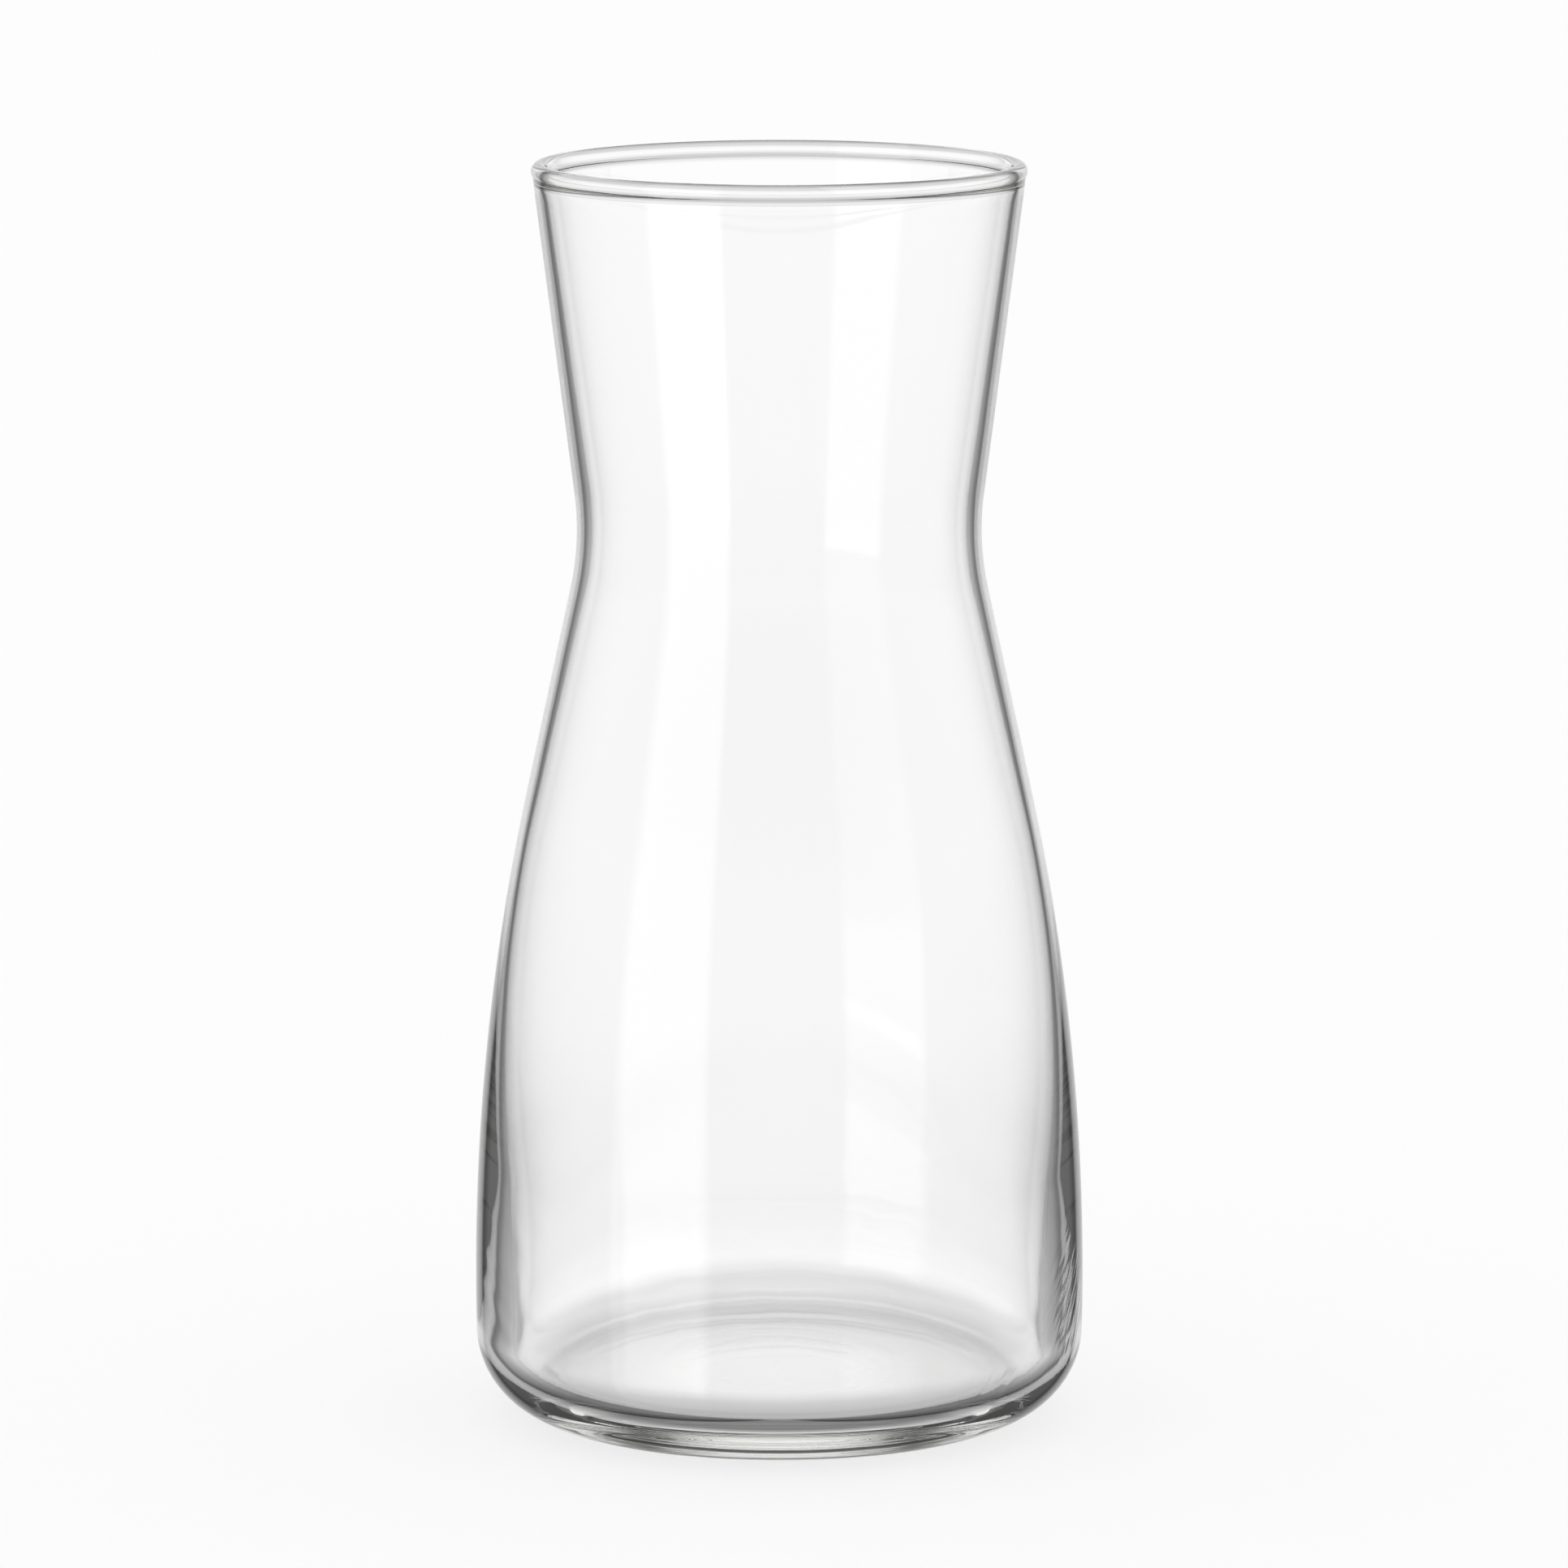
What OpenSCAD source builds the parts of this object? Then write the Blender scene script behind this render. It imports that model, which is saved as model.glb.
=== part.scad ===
// Water carafe, blown in one piece of clear glass.
// A round body on a rounded heel swells to its widest point low down, leans in to a waist that the
// hand closes around, and opens again as a straight flared neck with a fire-polished bead at the rim.
// The wall is thin at the rim and heavy at the foot, so the inside has a profile of its own.
// Origin: centre of the face it stands on. Z up, the axis of the glass.

/* [Overall] */
// Height from the table to the top of the rim
height = 214.5; // [180:0.5:260]
// How far the narrowest point lies below the top of the rim
neck_length = 62; // [50:0.5:80]

/* [Body] */
// Widest diameter of the body
belly_diameter = 104; // [86:0.5:124]
// Height of the widest point of the body
belly_height = 23; // [20:0.5:28]
// Share of the way to the waist that the body curves, before the shoulder runs straight
belly_share = 0.913; // [0.8:0.001:0.95]
// Radius of the rounded heel in profile
heel_radius = 14.8; // [12:0.2:17]

/* [Waist and neck] */
// Outer diameter at the narrowest point
waist_diameter = 68.5; // [56:0.5:78]
// Radius of the hollow of the waist in profile
waist_radius = 47; // [38:1:56]

/* [Rim] */
// Diameter over the bead
rim_diameter = 83.5; // [74:0.5:98]
// Thickness of the bead
bead_diameter = 2.9; // [2.6:0.1:3.4]
// How far the bead stands out from the outer face of the neck
bead_proud = 0.15; // [0.1:0.05:0.3]
// Radius of the run-out under the bead, inside the neck
bead_fillet = 1.6; // [0.8:0.2:2.4]

/* [Wall] */
// Wall at the rim, measured level
rim_wall = 1.75; // [1.5:0.05:2]
// Wall at the waist
waist_wall = 2.4; // [2:0.1:2.8]
// Wall where the inside is widest, measured level
body_wall = 3.2; // [2.6:0.1:4]
// Height of the widest point inside
cavity_height = 54; // [44:0.5:64]
// Share of the way to the waist that the inside curves, before it runs straight
cavity_share = 0.812; // [0.7:0.001:0.9]
// Lean of the inside wall below that point, in degrees
cavity_taper = 2.6; // [1.5:0.1:3.5]

/* [Floor and foot] */
// Height of the inside floor on the axis
floor_height = 7.8; // [6:0.2:10]
// How much the floor rises from the wall to the axis
floor_rise = 0.9; // [0.6:0.1:2]
// Radius of the inside corner between floor and wall
corner_radius = 7; // [4:0.5:9]
// Width of the flat ring that the glass stands on
foot_width = 2.5; // [1.5:0.5:6]
// Depth of the hollow under the floor
punt_depth = 0.6; // [0.4:0.1:3]

/* [Hidden] */
$fn = 180;
glass_colour = [0.80, 0.90, 0.88];
// Largest distance between a round stretch of the profile and the chords that draw it
chord_sag = height / 20000;

// Unit vector at an angle from level
function along(angle) = [cos(angle), sin(angle)];

// Angle of a vector from level
function bearing(v) = atan2(v.y, v.x);

// Points of an arc after its first one
function arc(centre, radius, from, to) =
    let (steps = ceil(abs(to - from) / (2 * acos(1 - chord_sag / radius))))
    [for (i = [1:steps]) centre + radius * along(from + (to - from) * i / steps)];

// Angle of the normal along which one point lies a given distance past another
function facing(from, to, distance) = bearing(to - from) - acos(distance / norm(to - from));

// Radius of an arc with a given half width and rise. It is also the sum of the radii of two arcs that
// sweep from upright to upright over a given height, one into the other, and step in by a given width.
function dish(half, rise) = (half * half + rise * rise) / (2 * rise);

// Outside of the body, from the foot to the waist
waist_height = height - neck_length;
waist_centre = [waist_diameter / 2 + waist_radius, waist_height];
belly_step = (belly_diameter - waist_diameter) / 2;
belly_radius = belly_share * (dish(waist_height - belly_height, belly_step) - waist_radius);
belly_centre = [belly_diameter / 2 - belly_radius, belly_height];
shoulder_angle = facing(belly_centre, waist_centre, belly_radius + waist_radius);
shoulder_top = waist_centre - waist_radius * along(shoulder_angle);
heel_drop = belly_height - heel_radius;
heel_reach = sqrt(pow(belly_radius - heel_radius, 2) - pow(heel_drop, 2));
heel_centre = [belly_centre.x + heel_reach, heel_radius];
heel_angle = bearing(heel_centre - belly_centre);
foot_edge = [heel_centre.x, 0];

// Outside of the neck, up to where it runs into the bead
bead_radius = bead_diameter / 2;
bead_centre = [rim_diameter / 2 - bead_radius, height - bead_radius];
neck_mark = [rim_diameter / 2 - bead_proud, bead_centre.y];
neck_angle = facing(waist_centre, neck_mark, -waist_radius);
neck_depth = along(neck_angle) * (neck_mark - bead_centre);
bead_start = neck_angle - acos(neck_depth / bead_radius);
neck_top = bead_centre + bead_radius * along(bead_start);

// Inside of the neck, from the waist to the run-out that touches the neck and the bead
bore_radius = waist_radius + waist_wall;
bore_mark = [neck_mark.x - rim_wall, neck_mark.y];
bore_angle = facing(waist_centre, bore_mark, -bore_radius);
bore_normal = along(bore_angle);
bore_down = [bore_normal.y, -bore_normal.x];
bore_foot = waist_centre - bore_radius * bore_normal;
runout_offset = bead_fillet + bore_normal * (bead_centre - bore_mark);
runout_reach = sqrt(pow(bead_radius + bead_fillet, 2) - pow(runout_offset, 2));
runout_centre = bead_centre - runout_offset * bore_normal + runout_reach * bore_down;
runout_angle = bearing(bead_centre - runout_centre);

// Inside of the body, a wall inside the outer curve at its widest point
cavity_drop = cavity_height - belly_height;
cavity_half = belly_centre.x + sqrt(pow(belly_radius, 2) - pow(cavity_drop, 2)) - body_wall;
cavity_step = cavity_half + waist_wall - waist_diameter / 2;
cavity_radius = cavity_share * (dish(waist_height - cavity_height, cavity_step) - bore_radius);
cavity_centre = [cavity_half - cavity_radius, cavity_height];
cavity_angle = facing(cavity_centre, waist_centre, cavity_radius + bore_radius);
cavity_shoulder = cavity_centre + cavity_radius * along(cavity_angle);
taper_normal = along(-cavity_taper);
taper_down = [taper_normal.y, -taper_normal.x];
taper_top = cavity_centre + cavity_radius * taper_normal;

// Inside corner, which touches the tapered wall and the domed floor
floor_radius = dish(cavity_half, floor_rise);
floor_centre = [0, floor_height - floor_radius];
corner_start = taper_top - corner_radius * taper_normal - floor_centre;
corner_fall = -corner_start * taper_down;
corner_gap = pow(norm(corner_start), 2) - pow(floor_radius + corner_radius, 2);
corner_run = corner_fall - sqrt(pow(corner_fall, 2) - corner_gap);
corner_centre = floor_centre + corner_start + corner_run * taper_down;
corner_top = corner_centre + corner_radius * taper_normal;
floor_angle = bearing(corner_centre - floor_centre);

// Hollow under the floor
punt_half = foot_edge.x - foot_width;
punt_radius = dish(punt_half, punt_depth);
punt_centre = [0, punt_depth - punt_radius];

// Outer face from the foot up to the bead
outer_face = concat(
    [foot_edge],
    arc(heel_centre, heel_radius, -90, heel_angle),
    arc(belly_centre, belly_radius, heel_angle, shoulder_angle),
    [shoulder_top],
    arc(waist_centre, waist_radius, 180 + shoulder_angle, 180 + neck_angle)
);

// Bead over the rim, with the run-out into the inside of the neck
rim_face = concat(
    [neck_top],
    arc(bead_centre, bead_radius, bead_start, 180 + runout_angle),
    arc(runout_centre, bead_fillet, runout_angle, bore_angle)
);

// Inner face from the neck down to the middle of the floor
inner_face = concat(
    [bore_foot],
    arc(waist_centre, bore_radius, 180 + bore_angle, 180 + cavity_angle),
    [cavity_shoulder],
    arc(cavity_centre, cavity_radius, cavity_angle, -cavity_taper),
    [corner_top],
    arc(corner_centre, corner_radius, -cavity_taper, floor_angle - 180),
    arc(floor_centre, floor_radius, floor_angle, 90)
);

// Underside from the axis out to the foot ring
under_face = concat(
    [[0, punt_depth]],
    arc(punt_centre, punt_radius, 90, bearing([punt_half, 0] - punt_centre))
);

module carafe_glass() {
    color(glass_colour) rotate_extrude() polygon(concat(outer_face, rim_face, inner_face, under_face));
}

carafe_glass();
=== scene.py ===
"""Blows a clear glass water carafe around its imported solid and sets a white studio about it.

Lengths are metres, in the frame of the solid: +Z up, the origin on the table under the axis of
the glass. The profile of the glass is drawn in the XZ plane, x as the radius, and spun about Z.
"""
import math

import bmesh
import bpy
from mathutils import Matrix, Vector, noise


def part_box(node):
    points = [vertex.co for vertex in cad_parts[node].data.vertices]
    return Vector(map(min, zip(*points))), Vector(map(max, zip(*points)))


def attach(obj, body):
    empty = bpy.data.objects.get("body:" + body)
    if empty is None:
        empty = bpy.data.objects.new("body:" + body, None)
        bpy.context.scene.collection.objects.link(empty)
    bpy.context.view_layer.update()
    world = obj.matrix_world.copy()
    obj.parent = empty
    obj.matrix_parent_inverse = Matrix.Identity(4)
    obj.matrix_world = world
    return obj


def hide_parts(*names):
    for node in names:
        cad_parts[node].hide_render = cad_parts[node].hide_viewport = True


bl_info = {
    "name": "Blown Glass Carafe",
    "version": (1, 0, 0),
    "blender": (4, 5, 0),
    "location": "View3D > Sidebar > Carafe",
    "description": "Blows a clear glass water carafe and sets a white studio about it",
    "category": "Add Mesh",
}

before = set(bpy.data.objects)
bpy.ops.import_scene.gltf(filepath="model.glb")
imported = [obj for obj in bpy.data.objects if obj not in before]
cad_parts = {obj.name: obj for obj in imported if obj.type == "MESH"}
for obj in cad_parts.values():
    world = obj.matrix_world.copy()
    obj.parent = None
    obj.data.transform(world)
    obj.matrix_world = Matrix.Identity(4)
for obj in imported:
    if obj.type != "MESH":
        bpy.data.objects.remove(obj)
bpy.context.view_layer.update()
GLASS_LOW, GLASS_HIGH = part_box("carafe_glass")


def linear(hex_colour):
    """Linear RGB of an sRGB hex colour."""
    channels = [int(hex_colour[i:i + 2], 16) / 255 for i in (1, 3, 5)]
    return tuple(c / 12.92 if c <= 0.04045 else ((c + 0.055) / 1.055) ** 2.4 for c in channels)


def add_node(tree, kind, inputs=None, **settings):
    """Adds a node with its settings, and sets or links each of its named inputs."""
    node = tree.nodes.new(kind)
    for name, value in settings.items():
        setattr(node, name, value)
    for name, value in (inputs or {}).items():
        if isinstance(value, bpy.types.NodeSocket):
            tree.links.new(value, node.inputs[name])
        else:
            node.inputs[name].default_value = value
    return node


def empty_tree(block):
    """Gives the node tree of a material or a world, with nothing in it."""
    block.use_nodes = True
    block.node_tree.nodes.clear()
    return block.node_tree


def add_object(context, name, mesh):
    """Links a new object to the scene, made from a bmesh that is then freed."""
    data = bpy.data.meshes.new(name)
    mesh.to_mesh(data)
    mesh.free()
    made = bpy.data.objects.new(name, data)
    context.scene.collection.objects.link(made)
    return made


class CarafeShape(bpy.types.PropertyGroup):
    """Sizes of the glass."""

    height: bpy.props.FloatProperty(
        name="Height", description="From the table to the top of the rim",
        default=GLASS_HIGH.z - GLASS_LOW.z, unit="LENGTH")
    neck_length: bpy.props.FloatProperty(
        name="Neck length", description="How far the narrowest point lies below the top of the rim",
        default=0.062, unit="LENGTH")
    belly_diameter: bpy.props.FloatProperty(
        name="Belly diameter", description="Widest diameter of the body",
        default=GLASS_HIGH.x - GLASS_LOW.x, unit="LENGTH")
    belly_height: bpy.props.FloatProperty(
        name="Belly height", description="Height of the widest point of the body",
        default=0.023, unit="LENGTH")
    belly_share: bpy.props.FloatProperty(
        name="Belly share", description="Share of the way to the waist that the body curves",
        default=0.913, subtype="FACTOR")
    heel_radius: bpy.props.FloatProperty(
        name="Heel radius", description="Radius of the rounded heel in profile",
        default=0.0148, unit="LENGTH")
    waist_diameter: bpy.props.FloatProperty(
        name="Waist diameter", description="Outer diameter at the narrowest point",
        default=0.0685, unit="LENGTH")
    waist_radius: bpy.props.FloatProperty(
        name="Waist radius", description="Radius of the hollow of the waist in profile",
        default=0.047, unit="LENGTH")
    rim_diameter: bpy.props.FloatProperty(
        name="Rim diameter", description="Diameter over the bead", default=0.0835, unit="LENGTH")
    bead_diameter: bpy.props.FloatProperty(
        name="Bead diameter", description="Thickness of the fire-polished bead",
        default=0.0029, unit="LENGTH")
    bead_proud: bpy.props.FloatProperty(
        name="Bead proud",
        description="How far the bead stands out from the outer face of the neck",
        default=0.00015, unit="LENGTH")
    bead_fillet: bpy.props.FloatProperty(
        name="Bead fillet", description="Radius of the run-out under the bead, inside the neck",
        default=0.0016, unit="LENGTH")
    rim_wall: bpy.props.FloatProperty(
        name="Rim wall", description="Wall at the rim, measured level",
        default=0.00175, unit="LENGTH")
    waist_wall: bpy.props.FloatProperty(
        name="Waist wall", description="Wall at the waist", default=0.0024, unit="LENGTH")
    body_wall: bpy.props.FloatProperty(
        name="Body wall", description="Wall where the inside is widest, measured level",
        default=0.0032, unit="LENGTH")
    cavity_height: bpy.props.FloatProperty(
        name="Cavity height", description="Height of the widest point inside",
        default=0.054, unit="LENGTH")
    cavity_share: bpy.props.FloatProperty(
        name="Cavity share", description="Share of the way to the waist that the inside curves",
        default=0.812, subtype="FACTOR")
    cavity_taper: bpy.props.FloatProperty(
        name="Cavity taper", description="Lean of the inside wall below its widest point",
        default=math.radians(2.6), subtype="ANGLE")
    floor_height: bpy.props.FloatProperty(
        name="Floor height", description="Height of the inside floor on the axis",
        default=0.0078, unit="LENGTH")
    floor_rise: bpy.props.FloatProperty(
        name="Floor rise", description="How much the floor rises from the wall to the axis",
        default=0.0009, unit="LENGTH")
    corner_radius: bpy.props.FloatProperty(
        name="Corner radius", description="Radius of the inside corner between floor and wall",
        default=0.007, unit="LENGTH")
    foot_width: bpy.props.FloatProperty(
        name="Foot width", description="Width of the flat ring that the glass stands on",
        default=0.0025, unit="LENGTH")
    punt_depth: bpy.props.FloatProperty(
        name="Punt depth", description="Depth of the hollow under the floor",
        default=0.0006, unit="LENGTH")
    profile_step: bpy.props.FloatProperty(
        name="Profile step", description="Longest edge along the profile",
        default=0.0019, unit="LENGTH")
    fine_step: bpy.props.FloatProperty(
        name="Fine step", description="Longest edge along the rippled stretches of the profile",
        default=0.0008, unit="LENGTH")
    profile_turn: bpy.props.FloatProperty(
        name="Profile turn", description="Sharpest turn between two edges of the profile",
        default=math.radians(6), subtype="ANGLE")
    turns: bpy.props.IntProperty(
        name="Facets round", description="Faces around the axis", default=216)
    ripple: bpy.props.FloatProperty(
        name="Ripple", description="Height of the ripples inside, low on the wall",
        default=0.00003, unit="LENGTH")
    ripple_length: bpy.props.FloatProperty(
        name="Ripple length", description="Distance from one ripple to the next",
        default=0.006, unit="LENGTH")
    ripple_lean: bpy.props.FloatProperty(
        name="Ripple lean",
        description="How far the ripples wind about the axis, in radians per metre of height",
        default=20.0)
    ripple_top: bpy.props.FloatProperty(
        name="Ripple top", description="Height at which the ripples have faded out",
        default=0.05, unit="LENGTH")
    wrinkle: bpy.props.FloatProperty(
        name="Wrinkle", description="Height of the wrinkles in the patches that set first",
        default=0.00005, unit="LENGTH")
    wrinkle_length: bpy.props.FloatProperty(
        name="Wrinkle length", description="Distance from one wrinkle to the next",
        default=0.0032, unit="LENGTH")
    floor_ring: bpy.props.FloatProperty(
        name="Floor ring", description="Height of the ring where the floor meets the corner",
        default=0.00006, unit="LENGTH")


class GlassFinish(bpy.types.PropertyGroup):
    """Finish of the glass."""

    refraction: bpy.props.FloatProperty(
        name="Refraction", description="Index of refraction of the glass", default=1.52)
    tint: bpy.props.FloatVectorProperty(
        name="Tint", description="Colour that thick glass turns the light",
        default=linear("#f5f7ee"), size=3, subtype="COLOR")
    tint_density: bpy.props.FloatProperty(
        name="Tint density", description="How fast the glass takes its tint, per metre",
        default=2.0)
    wave_length: bpy.props.FloatProperty(
        name="Wave length", description="Size of the soft waves in the polished surface",
        default=0.012, unit="LENGTH")
    wave_height: bpy.props.FloatProperty(
        name="Wave height", description="Height of the soft waves in the polished surface",
        default=0.000007, unit="LENGTH")
    crease_length: bpy.props.FloatProperty(
        name="Crease length",
        description="Distance from one fine crease to the next, in the wrinkled patches",
        default=0.0026, unit="LENGTH")
    crease_height: bpy.props.FloatProperty(
        name="Crease height", description="Height of the fine creases",
        default=0.00013, unit="LENGTH")
    crease_slant: bpy.props.FloatProperty(
        name="Crease slant", description="How steeply the creases climb",
        default=math.radians(45), subtype="ANGLE")


class StudioSetup(bpy.types.PropertyGroup):
    """Camera, floor and light."""

    lens: bpy.props.FloatProperty(
        name="Lens", description="Focal length on a 36 mm frame, in millimetres", default=205.0)
    camera_place: bpy.props.FloatVectorProperty(
        name="Camera place", description="Where the camera stands",
        default=(0.0008, -1.4972, 0.3555), size=3, subtype="TRANSLATION")
    camera_tilt: bpy.props.FloatProperty(
        name="Camera tilt", description="How far the camera looks down",
        default=math.radians(9.366), subtype="ANGLE")
    backdrop: bpy.props.FloatProperty(
        name="Backdrop", description="Brightness of the white behind the glass", default=0.983)
    ambient: bpy.props.FloatProperty(
        name="Ambient", description="Brightness of the room that lights the floor", default=1.08)
    shaded: bpy.props.FloatProperty(
        name="Shaded room", description="Brightness beside the stretches of backdrop", default=0.15)
    floor_colour: bpy.props.FloatVectorProperty(
        name="Floor colour", description="Colour of the floor",
        default=linear("#f4f4f4"), size=3, subtype="COLOR")
    floor_glow: bpy.props.FloatProperty(
        name="Floor glow",
        description="Share of the floor's white that no shadow takes from the camera",
        default=0.75, subtype="FACTOR")


def along(angle):
    """Unit vector at an angle from level."""
    return Vector((math.cos(angle), math.sin(angle)))


def bearing(vector):
    """Angle of a vector from level."""
    return math.atan2(vector.y, vector.x)


def facing(start, end, distance):
    """Angle of the normal along which one point lies a given distance past another."""
    return bearing(end - start) - math.acos(distance / (end - start).length)


def dish(half, rise):
    """Radius of an arc with a given half width and rise."""
    return (half ** 2 + rise ** 2) / (2 * rise)


# Azimuth and reach of each wrinkled patch inside, in degrees, and its height and reach up the wall
WRINKLES = ((-10, 10, 0.019, 0.01), (-42, 8, 0.0105, 0.005), (-138, 8, 0.0105, 0.005))
# How many times as long as it is wide a wrinkle of the mesh runs, and a crease of the finish
WRINKLE_STRETCH = 5
CREASE_STRETCH = 6
# Radius, share of the height and width of each ring in the floor
FLOOR_RINGS = ((0.0382, 1.0, 0.0007), (0.021, 0.25, 0.0009), (0.0156, 0.2, 0.0009))
# How many stronger and weaker stretches a ring has to one radius of it
RING_PATCHES = 4
# Points of the mesh that lie closer than this are one
WELD_DISTANCE = 0.0000015


class ProfilePen:
    """Draws a profile in the XZ plane of a bmesh, one stretch after another."""

    def __init__(self, mesh, start, step, turn):
        self.mesh = mesh
        self.step = step
        self.turn = turn
        self.tip = mesh.verts.new((start.x, 0, start.y))

    def line(self, end):
        """Draws a straight stretch to a point."""
        start = Vector(self.tip.co.xz)
        steps = math.ceil((end - start).length / self.step)
        for i in range(steps):
            point = start.lerp(end, (i + 1) / steps)
            self.tip = bmesh.ops.extrude_vert_indiv(self.mesh, verts=[self.tip])["verts"][0]
            self.tip.co = (point.x, 0, point.y)

    def arc(self, centre, start, end):
        """Spins the tip about a centre, between two angles from level."""
        radius = (Vector(self.tip.co.xz) - centre).length
        sweep = end - start
        steps = math.ceil(max(abs(sweep) / self.turn, abs(sweep) * radius / self.step))
        made = bmesh.ops.spin(
            self.mesh, geom=[self.tip], cent=(centre.x, 0, centre.y), axis=(0, -1, 0),
            angle=sweep, steps=steps)
        self.tip = next(g for g in made["geom_last"] if isinstance(g, bmesh.types.BMVert))


def draw_glass_profile(mesh, inside, shape):
    """Draws the closed wall of the glass, from the foot over the rim and down to the floor.

    Marks the low inside wall and the floor on the inside layer.
    """
    waist_height = shape.height - shape.neck_length
    waist_centre = Vector((shape.waist_diameter / 2 + shape.waist_radius, waist_height))
    belly_step = (shape.belly_diameter - shape.waist_diameter) / 2
    belly_sweep = dish(waist_height - shape.belly_height, belly_step)
    belly_radius = shape.belly_share * (belly_sweep - shape.waist_radius)
    belly_centre = Vector((shape.belly_diameter / 2 - belly_radius, shape.belly_height))
    shoulder_angle = facing(belly_centre, waist_centre, belly_radius + shape.waist_radius)
    heel_drop = shape.belly_height - shape.heel_radius
    heel_reach = math.sqrt((belly_radius - shape.heel_radius) ** 2 - heel_drop ** 2)
    heel_centre = Vector((belly_centre.x + heel_reach, shape.heel_radius))
    heel_angle = bearing(heel_centre - belly_centre)

    bead_radius = shape.bead_diameter / 2
    bead_centre = Vector((shape.rim_diameter / 2 - bead_radius, shape.height - bead_radius))
    neck_mark = Vector((shape.rim_diameter / 2 - shape.bead_proud, bead_centre.y))
    neck_angle = facing(waist_centre, neck_mark, -shape.waist_radius)
    neck_depth = along(neck_angle).dot(neck_mark - bead_centre)
    bead_start = neck_angle - math.acos(neck_depth / bead_radius)

    bore_radius = shape.waist_radius + shape.waist_wall
    bore_mark = Vector((neck_mark.x - shape.rim_wall, neck_mark.y))
    bore_angle = facing(waist_centre, bore_mark, -bore_radius)
    bore_normal = along(bore_angle)
    bore_down = Vector((bore_normal.y, -bore_normal.x))
    runout_offset = shape.bead_fillet + bore_normal.dot(bead_centre - bore_mark)
    runout_reach = math.sqrt((bead_radius + shape.bead_fillet) ** 2 - runout_offset ** 2)
    runout_centre = bead_centre - runout_offset * bore_normal + runout_reach * bore_down
    runout_angle = bearing(bead_centre - runout_centre)

    cavity_drop = shape.cavity_height - shape.belly_height
    cavity_half = belly_centre.x + math.sqrt(belly_radius ** 2 - cavity_drop ** 2) - shape.body_wall
    cavity_step = cavity_half + shape.waist_wall - shape.waist_diameter / 2
    cavity_sweep = dish(waist_height - shape.cavity_height, cavity_step)
    cavity_radius = shape.cavity_share * (cavity_sweep - bore_radius)
    cavity_centre = Vector((cavity_half - cavity_radius, shape.cavity_height))
    cavity_angle = facing(cavity_centre, waist_centre, cavity_radius + bore_radius)
    taper_normal = along(-shape.cavity_taper)
    taper_down = Vector((taper_normal.y, -taper_normal.x))
    taper_top = cavity_centre + cavity_radius * taper_normal

    floor_radius = dish(cavity_half, shape.floor_rise)
    floor_centre = Vector((0, shape.floor_height - floor_radius))
    corner_start = taper_top - shape.corner_radius * taper_normal - floor_centre
    corner_fall = -corner_start.dot(taper_down)
    corner_gap = corner_start.length_squared - (floor_radius + shape.corner_radius) ** 2
    corner_run = corner_fall - math.sqrt(corner_fall ** 2 - corner_gap)
    corner_centre = floor_centre + corner_start + corner_run * taper_down
    floor_angle = bearing(corner_centre - floor_centre)

    punt_half = heel_centre.x - shape.foot_width
    punt_radius = dish(punt_half, shape.punt_depth)
    punt_centre = Vector((0, shape.punt_depth - punt_radius))
    punt_angle = bearing(Vector((punt_half, 0)) - punt_centre)

    half_turn = math.pi
    upright = math.pi / 2
    pen = ProfilePen(mesh, Vector((0, shape.punt_depth)), shape.profile_step, shape.profile_turn)
    pen.arc(punt_centre, upright, punt_angle)
    pen.line(Vector((heel_centre.x, 0)))
    pen.arc(heel_centre, -upright, heel_angle)
    pen.arc(belly_centre, heel_angle, shoulder_angle)
    pen.line(waist_centre - shape.waist_radius * along(shoulder_angle))
    pen.arc(waist_centre, half_turn + shoulder_angle, half_turn + neck_angle)
    pen.line(bead_centre + bead_radius * along(bead_start))
    pen.arc(bead_centre, bead_start, half_turn + runout_angle)
    pen.arc(runout_centre, runout_angle, bore_angle)
    pen.line(waist_centre - bore_radius * bore_normal)
    pen.arc(waist_centre, half_turn + bore_angle, half_turn + cavity_angle)
    pen.line(cavity_centre + cavity_radius * along(cavity_angle))
    pen.arc(cavity_centre, cavity_angle, -shape.cavity_taper)
    pen.step = shape.fine_step
    pen.tip[inside] = 1.0
    pen.line(corner_centre + shape.corner_radius * taper_normal)
    pen.arc(corner_centre, -shape.cavity_taper, floor_angle - half_turn)
    pen.arc(floor_centre, floor_angle, upright)


def ripple_inside(mesh, inside, wrinkled, shape):
    """Ripples the low inside wall and the floor, as the glass set while it was turned.

    Leaves the share of wrinkles on the wrinkled layer.
    """
    mesh.normal_update()
    for vertex in mesh.verts:
        if not vertex[inside]:
            continue
        place = vertex.co
        spot = Matrix.Rotation(shape.ripple_lean * place.z, 3, "Z") @ place / shape.ripple_length
        fade = max(0.0, 1 - place.z / shape.ripple_top)
        level = max(0.0, vertex.normal.z)
        wall = (1 - level) ** 2
        radius = place.xy.length
        turn = math.atan2(place.y, place.x)
        around = radius * turn
        lift = shape.ripple * fade * wall * noise.noise(spot)
        slant = Vector((around - place.z, (around + place.z) / WRINKLE_STRETCH, 0))
        for azimuth, reach, height, rise in WRINKLES:
            aside = (math.degrees(turn) - azimuth) / reach
            above = (place.z - height) / rise
            vertex[wrinkled] += wall * math.exp(-aside ** 2 - above ** 2)
        lift += shape.wrinkle * vertex[wrinkled] * noise.noise(slant / shape.wrinkle_length)
        for middle, share, width in FLOOR_RINGS:
            partial = 1 + share * noise.noise(RING_PATCHES * place / middle)
            crest = math.exp(-((radius - middle) / width) ** 2)
            lift += shape.floor_ring * share * level * partial * crest
        vertex.co = place + lift * vertex.normal


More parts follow.
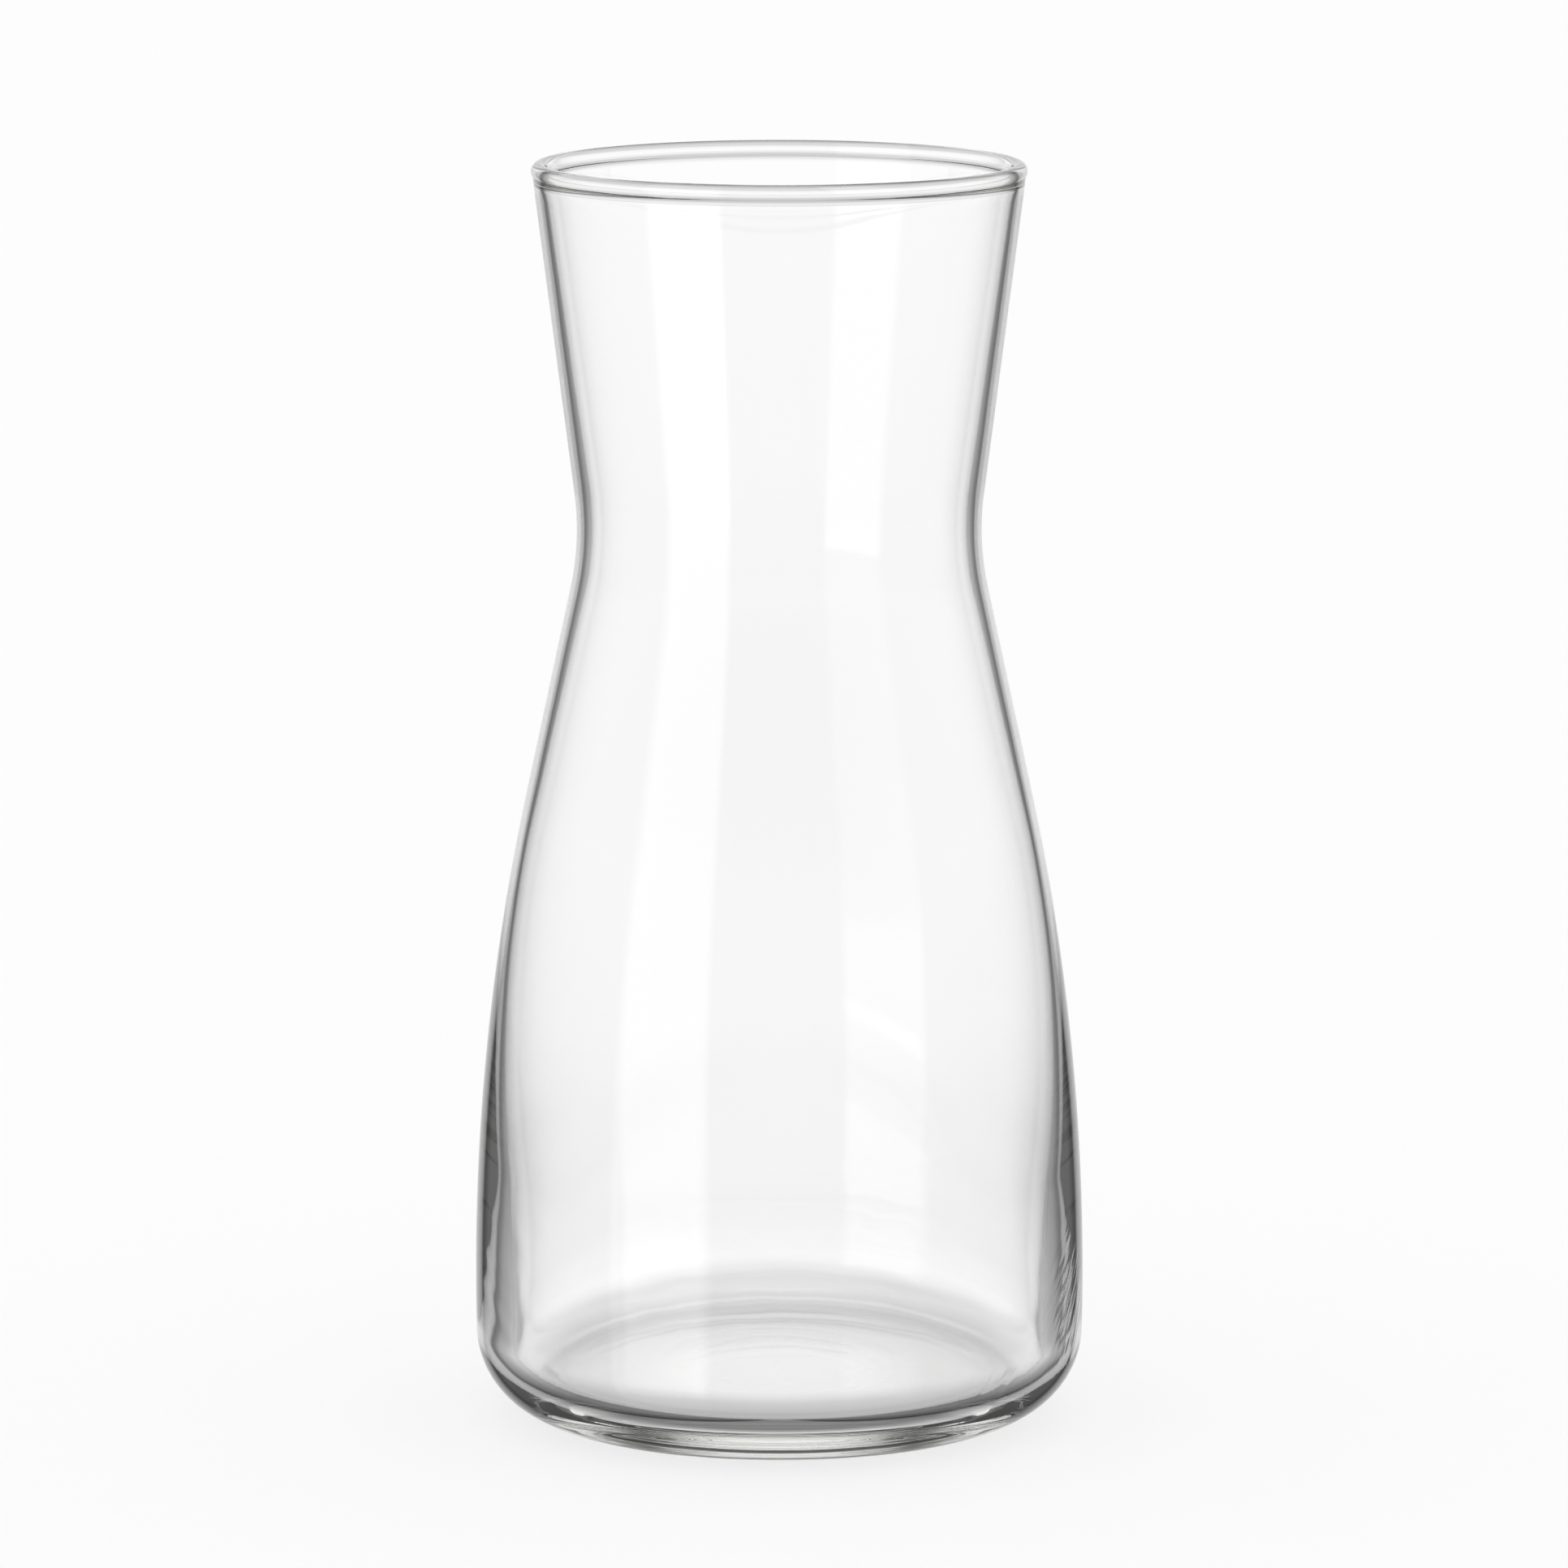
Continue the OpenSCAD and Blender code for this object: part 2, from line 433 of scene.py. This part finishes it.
def soda_lime_glass(finish, radius):
    """Blown soda-lime glass: clear and sharp, with a faint green in its thickness.

    The fire has left soft waves in its surface. Where the mesh is marked as wrinkled, fine slanting
    creases catch the light.
    """
    material = bpy.data.materials.new("soda_lime_glass")
    tree = empty_tree(material)
    place = add_node(tree, "ShaderNodeTexCoord")
    waves = add_node(tree, "ShaderNodeTexNoise", {
        "Vector": place.outputs["Object"], "Scale": 1 / finish.wave_length, "Detail": 1.0})
    split = add_node(tree, "ShaderNodeSeparateXYZ", {"Vector": place.outputs["Object"]})
    turn = add_node(tree, "ShaderNodeMath", {
        0: split.outputs["Y"], 1: split.outputs["X"]}, operation="ARCTAN2")
    around = add_node(tree, "ShaderNodeMath", {0: turn.outputs[0], 1: radius}, operation="MULTIPLY")
    unrolled = add_node(tree, "ShaderNodeCombineXYZ", {
        "X": around.outputs[0], "Y": split.outputs["Z"]})
    slanted = add_node(tree, "ShaderNodeMapping", {
        "Vector": unrolled.outputs["Vector"], "Rotation": (0, 0, finish.crease_slant),
        "Scale": (CREASE_STRETCH * finish.crease_length, finish.crease_length, 1)},
        vector_type="TEXTURE")
    creases = add_node(tree, "ShaderNodeTexNoise", {
        "Vector": slanted.outputs["Vector"], "Scale": 1.0})
    patch = add_node(tree, "ShaderNodeAttribute", attribute_name="wrinkled")
    crease_height = add_node(tree, "ShaderNodeMath", {
        0: patch.outputs["Fac"], 1: finish.crease_height}, operation="MULTIPLY")
    creased = add_node(tree, "ShaderNodeMath", {
        0: creases.outputs["Fac"], 1: crease_height.outputs[0]}, operation="MULTIPLY")
    height = add_node(tree, "ShaderNodeMath", {
        0: waves.outputs["Fac"], 1: finish.wave_height, 2: creased.outputs[0]},
        operation="MULTIPLY_ADD")
    bump = add_node(tree, "ShaderNodeBump", {"Height": height.outputs[0], "Distance": 1.0})
    surface = add_node(tree, "ShaderNodeBsdfPrincipled", {
        "Base Color": (1, 1, 1, 1), "Roughness": 0.0, "IOR": finish.refraction,
        "Transmission Weight": 1.0, "Normal": bump.outputs["Normal"]})
    volume = add_node(tree, "ShaderNodeVolumeAbsorption", {
        "Color": (*finish.tint, 1), "Density": finish.tint_density})
    add_node(tree, "ShaderNodeOutputMaterial", {
        "Surface": surface.outputs["BSDF"], "Volume": volume.outputs["Volume"]})
    return material


class CARAFE_OT_blow_glass(bpy.types.Operator):
    """Spin the wall of the carafe in one piece of clear glass"""

    bl_idname = "carafe.blow_glass"
    bl_label = "Blow the glass"

    def execute(self, context):
        shape = context.scene.carafe_shape
        mesh = bmesh.new()
        # A new layer moves those before it, so both are fetched once both are there
        for name in ("inside", "wrinkled"):
            mesh.verts.layers.float.new(name)
        inside, wrinkled = mesh.verts.layers.float.values()
        draw_glass_profile(mesh, inside, shape)
        bmesh.ops.spin(
            mesh, geom=mesh.verts[:] + mesh.edges[:], cent=(0, 0, 0), axis=(0, 0, 1),
            angle=math.tau, steps=shape.turns, use_merge=True)
        bmesh.ops.remove_doubles(mesh, verts=mesh.verts, dist=WELD_DISTANCE)
        bmesh.ops.recalc_face_normals(mesh, faces=mesh.faces)
        ripple_inside(mesh, inside, wrinkled, shape)
        mesh.verts.layers.float.remove(inside)
        for face in mesh.faces:
            face.smooth = True
        piece = add_object(context, "carafe", mesh)
        piece.data.materials.append(
            soda_lime_glass(context.scene.glass_finish, shape.belly_diameter / 2))
        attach(piece, "root")
        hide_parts("carafe_glass")
        return {"FINISHED"}


def set_stops(ramp, stops, lowest, highest):
    """Sets the stops of a colour ramp to (place, level) pairs, over a range of places."""
    marks = ramp.color_ramp.elements
    marks.remove(marks[1])
    for i, (place, level) in enumerate(stops):
        position = (place - lowest) / (highest - lowest)
        mark = marks.new(position) if i else marks[0]
        mark.position = position
        mark.color = (level, level, level, 1)


# Width of the floor, and how far the floor and the painted shade on it lie under the foot
FLOOR_WIDTH = 40
FLOOR_DROP = 0.0002
SHADE_DROP = 0.0001
MILLIMETRE = 0.001
# A ray's depths are whole numbers, and one below this is none
FIRST_DEPTH = 0.5


def add_stage_plane(context, name, width, drop):
    """Adds a level square to the stage, a drop below the foot."""
    mesh = bmesh.new()
    bmesh.ops.create_grid(mesh, x_segments=1, y_segments=1, size=width / 2)
    plane = add_object(context, name, mesh)
    plane.location.z = -drop
    return plane


def lay_floor(context):
    """Lays matt white paper just under the foot, which shows the camera only a faint shadow."""
    setup = context.scene.studio_setup
    floor = add_stage_plane(context, "floor", FLOOR_WIDTH, FLOOR_DROP)
    material = bpy.data.materials.new("matt_white_paper")
    tree = empty_tree(material)
    paper = add_node(tree, "ShaderNodeBsdfPrincipled", {
        "Base Color": (*setup.floor_colour, 1), "Roughness": 1.0, "Specular IOR Level": 0.0})
    glow = add_node(tree, "ShaderNodeEmission", {"Color": (1, 1, 1, 1), "Strength": setup.backdrop})
    path = add_node(tree, "ShaderNodeLightPath")
    share = add_node(tree, "ShaderNodeMath", {
        0: path.outputs["Is Camera Ray"], 1: setup.floor_glow}, operation="MULTIPLY")
    lit = add_node(tree, "ShaderNodeMixShader", {
        0: share.outputs[0], 1: paper.outputs["BSDF"], 2: glow.outputs["Emission"]})
    add_node(tree, "ShaderNodeOutputMaterial", {"Surface": lit.outputs["Shader"]})
    floor.data.materials.append(material)
    floor.visible_transmission = False
    floor.visible_glossy = False


# Painted shadow on the table: its brightness by the distance from the axis, in millimetres, as it
# shows through the floor of the glass, and where that gives way to the room
SHADE = (
    (0, 0.83), (14, 0.81), (20, 0.7), (26, 0.58), (32, 0.56), (38, 0.44), (41, 0.46), (46, 0.7),
    (60, 0.82))
SHADE_EDGE = ((58, 1.0), (75, 0.0))


def shade_table(context):
    """Paints the table's shade under the foot, for the light that the glass lets straight through.
    """
    reach = SHADE_EDGE[-1][0]
    shade = add_stage_plane(context, "shade", 2 * reach * MILLIMETRE, SHADE_DROP)
    material = bpy.data.materials.new("shaded_table")
    tree = empty_tree(material)
    place = add_node(tree, "ShaderNodeTexCoord")
    radius = add_node(tree, "ShaderNodeVectorMath", {
        0: place.outputs["Object"]}, operation="LENGTH")
    share = add_node(tree, "ShaderNodeMapRange", {
        "Value": radius.outputs["Value"], "From Max": reach * MILLIMETRE})
    level = add_node(tree, "ShaderNodeValToRGB", {"Fac": share.outputs["Result"]})
    set_stops(level, SHADE, 0, reach)
    edge = add_node(tree, "ShaderNodeValToRGB", {"Fac": share.outputs["Result"]})
    set_stops(edge, SHADE_EDGE, 0, reach)
    path = add_node(tree, "ShaderNodeLightPath")
    direct = add_node(tree, "ShaderNodeMath", {
        0: path.outputs["Glossy Depth"], 1: FIRST_DEPTH}, operation="LESS_THAN")
    solid = add_node(tree, "ShaderNodeMath", {
        0: edge.outputs["Color"], 1: direct.outputs[0]}, operation="MULTIPLY")
    clear = add_node(tree, "ShaderNodeBsdfTransparent")
    # Painted shadow: the sheet glows with the table's shade by radius, though it is no lamp
    glow = add_node(tree, "ShaderNodeEmission", {"Color": level.outputs["Color"], "Strength": 1.0})
    mixed = add_node(tree, "ShaderNodeMixShader", {
        0: solid.outputs[0], 1: clear.outputs["BSDF"], 2: glow.outputs["Emission"]})
    add_node(tree, "ShaderNodeOutputMaterial", {"Surface": mixed.outputs["Shader"]})
    shade.data.materials.append(material)
    for kind in ("camera", "diffuse", "glossy", "shadow"):
        setattr(shade, "visible_" + kind, False)


# Azimuth straight behind the glass, as the camera sees it, in degrees like all the angles below
BEHIND = 90
# Brightness of a white sweep by the angle from its middle, past the dark flag on either side
SWEEP = (
    (0, 1.0), (12, 0.98), (16, 0.96), (18, 0.95), (20, 0.92), (22, 0.86), (24, 0.7), (27, 0.14),
    (30, 0.2), (35, 0.45), (42, 0.58))
# The same for the whole room, by the angle from straight behind the glass
ROOM_ACROSS = (*SWEEP, (48, 0.8), (60, 0.9), (80, 1.0), (180, 0.95))
# The same for one stretch of backdrop
BACKDROP_ACROSS = (*SWEEP, (47, 0.65), (52, 0.2))
# The same for light that is even all round
EVEN_ACROSS = ((0, 1.0),)
# Share of those by elevation: over the horizon, down on the table, and from the table upward
SKY = ((2, 1.0), (5, 0.88), (12, 0.9), (18, 0.68), (45, 0.7), (60, 1.1), (80, 1.15))
TABLE = ((-75, 0.17), (-54, 0.51), (-45, 0.55), (-36, 0.62))
FRONT = ((-30, 0.72), (-21, 0.74), (-18, 0.9), (-15, 0.95), *SKY)
# The same for light that the glass has turned back once or twice
ROOM_UPWARD = (
    (-75, 0.22), (-45, 0.22), (-35, 0.35), (-25, 0.6), (-14, 0.8), (-6, 0.95), (2, 1.0), (9, 1.1),
    (14, 1.0), (18, 0.87), (24, 0.67), (28, 0.4), (32, 0.06), (58, 0.05), (64, 1.0), (80, 1.1))
# The same for light that the wall has guided: dark but for a high lamp and one overhead
GUIDED_UPWARD = ((34, 0.05), (37, 1.0), (47, 1.0), (50, 0.05), (61, 0.03), (65, 1.05))
# Azimuth of the middle of each stretch of backdrop that a view sees straight through the glass,
# and its share by elevation
BACKDROPS = (
    (BEHIND, (*TABLE, *FRONT)),
    (180, (*TABLE, (-15, 0.74), (-12, 0.95), *SKY)),
    (135, ((-75, 0.17), (-56, 0.51), (-45, 0.74), (-41, 0.95), (-22, 1.0), (-19, 0.0))),
    (315, ((-75, 0.17), (-54, 0.51), (-31, 0.74), (-27, 0.95), (-6, 1.0), (-3, 0.0))),
)
# Azimuth, half width, lowest and highest elevation of the softbox, and its brightness
SOFTBOX = (222.2, 18.8, -24.5, 24, 1.75)
# Half the angle over which its light fades out at the edges
SOFTBOX_EDGE = 1.5
# Lowest elevation of its reflection in the table, and the share of its light there
SOFTBOX_MIRRORED = (-40, 0.25)
# Light that has turned back more often than this was guided along the inside of the wall
GUIDED_TURNS = 2.5
# How often light may turn in the glass before it is given up
BOUNCES = 128


def add_brightness(tree, turn, rise, azimuth, across, upward):
    """Adds nodes that give a brightness by the angle from an azimuth and by elevation."""
    aside = add_node(tree, "ShaderNodeMath", {
        0: turn, 1: math.radians(azimuth)}, operation="SUBTRACT")
    wrapped = add_node(tree, "ShaderNodeMath", {
        0: aside.outputs[0], 1: math.pi, 2: -math.pi}, operation="WRAP")
    angle = add_node(tree, "ShaderNodeMath", {0: wrapped.outputs[0]}, operation="ABSOLUTE")
    wide = add_node(tree, "ShaderNodeMapRange", {"Value": angle.outputs[0], "From Max": math.pi})
    across_ramp = add_node(tree, "ShaderNodeValToRGB", {"Fac": wide.outputs["Result"]})
    set_stops(across_ramp, across, 0, 180)
    tall = add_node(tree, "ShaderNodeMapRange", {
        "Value": rise, "From Min": -math.pi / 2, "From Max": math.pi / 2})
    upward_ramp = add_node(tree, "ShaderNodeValToRGB", {"Fac": tall.outputs["Result"]})
    set_stops(upward_ramp, upward, -90, 90)
    both = add_node(tree, "ShaderNodeMath", {
        0: across_ramp.outputs["Color"], 1: upward_ramp.outputs["Color"]}, operation="MULTIPLY")
    return both.outputs[0]


def light_room(context):
    """Lights the room: white to the camera, even on the floor, and by direction in the glass."""
    setup = context.scene.studio_setup
    world = bpy.data.worlds.new("white_studio")
    context.scene.world = world
    tree = empty_tree(world)
    path = add_node(tree, "ShaderNodeLightPath")
    place = add_node(tree, "ShaderNodeTexCoord")
    split = add_node(tree, "ShaderNodeSeparateXYZ", {"Vector": place.outputs["Generated"]})
    turn = add_node(tree, "ShaderNodeMath", {
        0: split.outputs["Y"], 1: split.outputs["X"]}, operation="ARCTAN2").outputs[0]
    rise = add_node(tree, "ShaderNodeMath", {0: split.outputs["Z"]}, operation="ARCSINE").outputs[0]

    azimuth, half_width, lowest, highest, brightness = SOFTBOX
    mirrored_lowest, mirrored = SOFTBOX_MIRRORED
    softbox = add_brightness(
        tree, turn, rise, azimuth,
        ((half_width - SOFTBOX_EDGE, 1.0), (half_width + SOFTBOX_EDGE, 0.0)),
        ((mirrored_lowest - SOFTBOX_EDGE, 0.0), (mirrored_lowest + SOFTBOX_EDGE, mirrored),
         (lowest - SOFTBOX_EDGE, mirrored), (lowest + SOFTBOX_EDGE, 1.0),
         (highest - SOFTBOX_EDGE, 1.0), (highest + SOFTBOX_EDGE, 0.0)))
    room = add_node(tree, "ShaderNodeMix", {
        "Factor": softbox, "A": add_brightness(tree, turn, rise, BEHIND, ROOM_ACROSS, ROOM_UPWARD),
        "B": brightness}).outputs["Result"]
    behind = setup.shaded
    for middle, upward in BACKDROPS:
        behind = add_node(tree, "ShaderNodeMath", {
            0: behind, 1: add_brightness(tree, turn, rise, middle, BACKDROP_ACROSS, upward)},
            operation="MAXIMUM").outputs[0]

    first = add_node(tree, "ShaderNodeMath", {
        0: path.outputs["Diffuse Depth"], 1: FIRST_DEPTH}, operation="LESS_THAN").outputs[0]
    direct = add_node(tree, "ShaderNodeMath", {
        0: path.outputs["Glossy Depth"], 1: FIRST_DEPTH}, operation="LESS_THAN").outputs[0]
    in_glass = add_node(tree, "ShaderNodeMath", {
        0: path.outputs["Is Glossy Ray"], 1: first}, operation="MULTIPLY").outputs[0]
    through = add_node(tree, "ShaderNodeMath", {
        0: path.outputs["Is Transmission Ray"], 1: first}, operation="MULTIPLY").outputs[0]
    straight = add_node(tree, "ShaderNodeMath", {
        0: through, 1: direct}, operation="MULTIPLY").outputs[0]
    turned = add_node(tree, "ShaderNodeMath", {
        0: path.outputs["Glossy Depth"], 1: GUIDED_TURNS}, operation="GREATER_THAN").outputs[0]
    guided = add_node(tree, "ShaderNodeMath", {
        0: in_glass, 1: turned}, operation="MULTIPLY").outputs[0]
    overhead = add_brightness(tree, turn, rise, BEHIND, EVEN_ACROSS, GUIDED_UPWARD)
    # Each kind of ray takes its own light, and where two kinds meet the later one holds
    level = setup.ambient
    for chosen, light in (
            (in_glass, room), (through, room), (guided, overhead), (straight, behind),
            (path.outputs["Is Camera Ray"], setup.backdrop)):
        level = add_node(tree, "ShaderNodeMix", {
            "Factor": chosen, "A": level, "B": light}).outputs["Result"]
    sky = add_node(tree, "ShaderNodeBackground", {"Color": (1, 1, 1, 1), "Strength": level})
    add_node(tree, "ShaderNodeOutputWorld", {"Surface": sky.outputs["Background"]})


def place_camera(context):
    """Stands the camera where the carafe is seen from, a little above the rim."""
    setup = context.scene.studio_setup
    data = bpy.data.cameras.new("camera")
    data.lens = setup.lens
    camera = bpy.data.objects.new("camera", data)
    camera.location = setup.camera_place
    camera.rotation_euler = (math.pi / 2 - setup.camera_tilt, 0, 0)
    context.scene.collection.objects.link(camera)
    context.scene.camera = camera


class CARAFE_OT_set_stage(bpy.types.Operator):
    """Set the floor, the white backdrop, the softbox and the camera"""

    bl_idname = "carafe.set_stage"
    bl_label = "Set the stage"

    def execute(self, context):
        lay_floor(context)
        shade_table(context)
        light_room(context)
        place_camera(context)
        context.scene.view_settings.view_transform = "Standard"
        for kind in ("max", "glossy", "transmission"):
            setattr(context.scene.cycles, kind + "_bounces", BOUNCES)
        return {"FINISHED"}


class CARAFE_PT_sidebar(bpy.types.Panel):
    """Lists the sizes and the steps"""

    bl_idname = "CARAFE_PT_sidebar"
    bl_label = "Blown glass carafe"
    bl_space_type = "VIEW_3D"
    bl_region_type = "UI"
    bl_category = "Carafe"

    def draw(self, context):
        for group_name in GROUPS:
            group = getattr(context.scene, group_name)
            box = self.layout.box()
            for name in group.__annotations__:
                box.prop(group, name)
        self.layout.operator(CARAFE_OT_blow_glass.bl_idname)
        self.layout.operator(CARAFE_OT_set_stage.bl_idname)


GROUPS = {"carafe_shape": CarafeShape, "glass_finish": GlassFinish, "studio_setup": StudioSetup}
CLASSES = (*GROUPS.values(), CARAFE_OT_blow_glass, CARAFE_OT_set_stage, CARAFE_PT_sidebar)


def register():
    """Adds the classes, and their settings to the scene."""
    for kind in CLASSES:
        bpy.utils.register_class(kind)
    for name, group in GROUPS.items():
        setattr(bpy.types.Scene, name, bpy.props.PointerProperty(type=group))


def unregister():
    """Takes the settings and the classes away again."""
    for name in GROUPS:
        delattr(bpy.types.Scene, name)
    for kind in reversed(CLASSES):
        bpy.utils.unregister_class(kind)


def main():
    """Makes the carafe and its stage."""
    register()
    bpy.ops.carafe.blow_glass()
    bpy.ops.carafe.set_stage()


if __name__ == "__main__":
    main()
